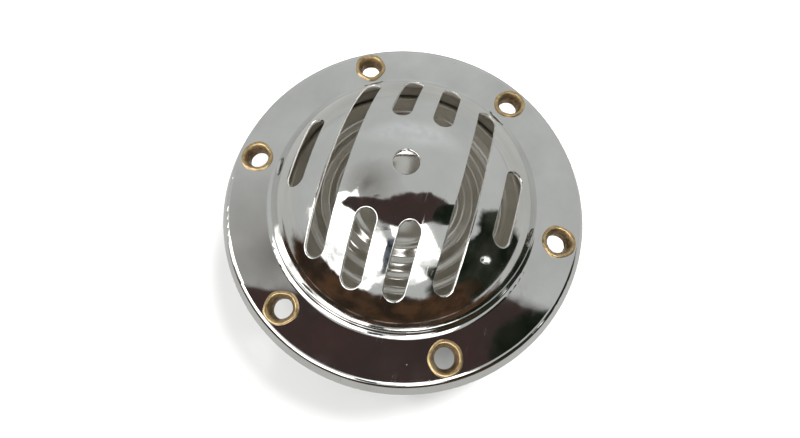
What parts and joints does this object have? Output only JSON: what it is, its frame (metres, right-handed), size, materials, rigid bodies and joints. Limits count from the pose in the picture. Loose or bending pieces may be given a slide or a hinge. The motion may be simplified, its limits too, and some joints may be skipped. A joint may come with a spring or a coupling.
{
  "type": "disc horn",
  "caption": "Electric disc horn: chromed slotted dome on an eyeleted flange over a ridged diaphragm, with a stepped rear housing, magnet coil, contact breaker, adjuster and screw terminals.",
  "frame": {"origin": "on the horn's axis at the front face of its flange, the centre of the ring of eyelets", "axes": "+Z out of the dome, +Y along the dome's slots; eyelets stand at 0, 60, 120, 180, 240 and 300 degrees from +X"},
  "size_m": [0.1046, 0.1046, 0.0549],
  "materials": {
    "chrome": "aged bright chrome plate",
    "brass": "worn, dull brass",
    "gasket_board": "oiled fibre board",
    "spring_steel": "satin spring steel",
    "plated_steel": "dull zinc plate",
    "bright_steel": "turned bright steel",
    "soft_iron": "dark turned iron",
    "copper_wire": "enamelled wire",
    "cotton_tape": "varnished cotton tape",
    "bakelite": "moulded, semi-gloss",
    "red_fibre": "vulcanised fibre",
    "tungsten": "ground contact metal",
    "lead_covering": "black wire covering"
  },
  "bodies": {
    "housing": {"front_grille": "chrome", "flange_eyelets": "brass", "front_gasket": "gasket_board", "rear_gasket": "gasket_board", "diaphragm": "spring_steel", "rear_housing": "plated_steel", "magnet_core": "soft_iron", "coil_bobbin": "bakelite", "coil_winding": "copper_wire", "coil_wrap": "cotton_tape", "breaker_bracket": "plated_steel", "bracket_rivet": "plated_steel", "breaker_pivot_pin": "bright_steel", "contact_insulator": "red_fibre", "fixed_contact_arm": "brass", "fixed_contact": "tungsten", "contact_screw": "bright_steel", "arm_return_leaf": "spring_steel", "adjuster_bush": "brass", "adjuster_lock_nut": "bright_steel", "terminal_plate": "bakelite", "terminal_inner_insulator": "red_fibre", "terminal_bushes": "red_fibre", "terminal_studs": "brass", "terminal_washers": "brass", "terminal_nuts": "brass", "lead_terminal_to_coil": "lead_covering", "lead_coil_to_contact": "lead_covering", "lead_bracket_to_terminal": "lead_covering"},
    "armature": {"armature_plate": "soft_iron", "armature_stud": "bright_steel", "hub_washer_rear": "bright_steel", "hub_washer_front": "bright_steel", "hub_nut": "bright_steel"},
    "breaker": {"breaker_arm": "bright_steel", "moving_contact": "tungsten", "striker_pad": "red_fibre"},
    "adjuster": {"adjusting_screw": "bright_steel"}
  },
  "joints": [
    {"name": "armature_stroke", "type": "slide", "parent": "housing", "child": "armature", "axis": [0, 0, 1], "range_m": [-0.0005, 0], "stiffness_N_per_m": 6000, "springref_m": 0.0002, "deforming": ["diaphragm"]},
    {"name": "breaker_swing", "type": "hinge", "parent": "housing", "child": "breaker", "pos_m": [0.0288, 0, -0.0105], "axis": [0, 1, 0], "range_deg": [-1.6, 0], "deforming": ["arm_return_leaf"]},
    {"name": "adjuster_turn", "type": "hinge", "parent": "housing", "child": "adjuster", "pos_m": [0.0255, 0.009, -0.016], "axis": [0, 0, 1], "range_deg": [-180, 180]}
  ],
  "couplings": [
    {"joint": "breaker_swing", "follows": "armature_stroke", "rad_per_m": 53.76}
  ]
}
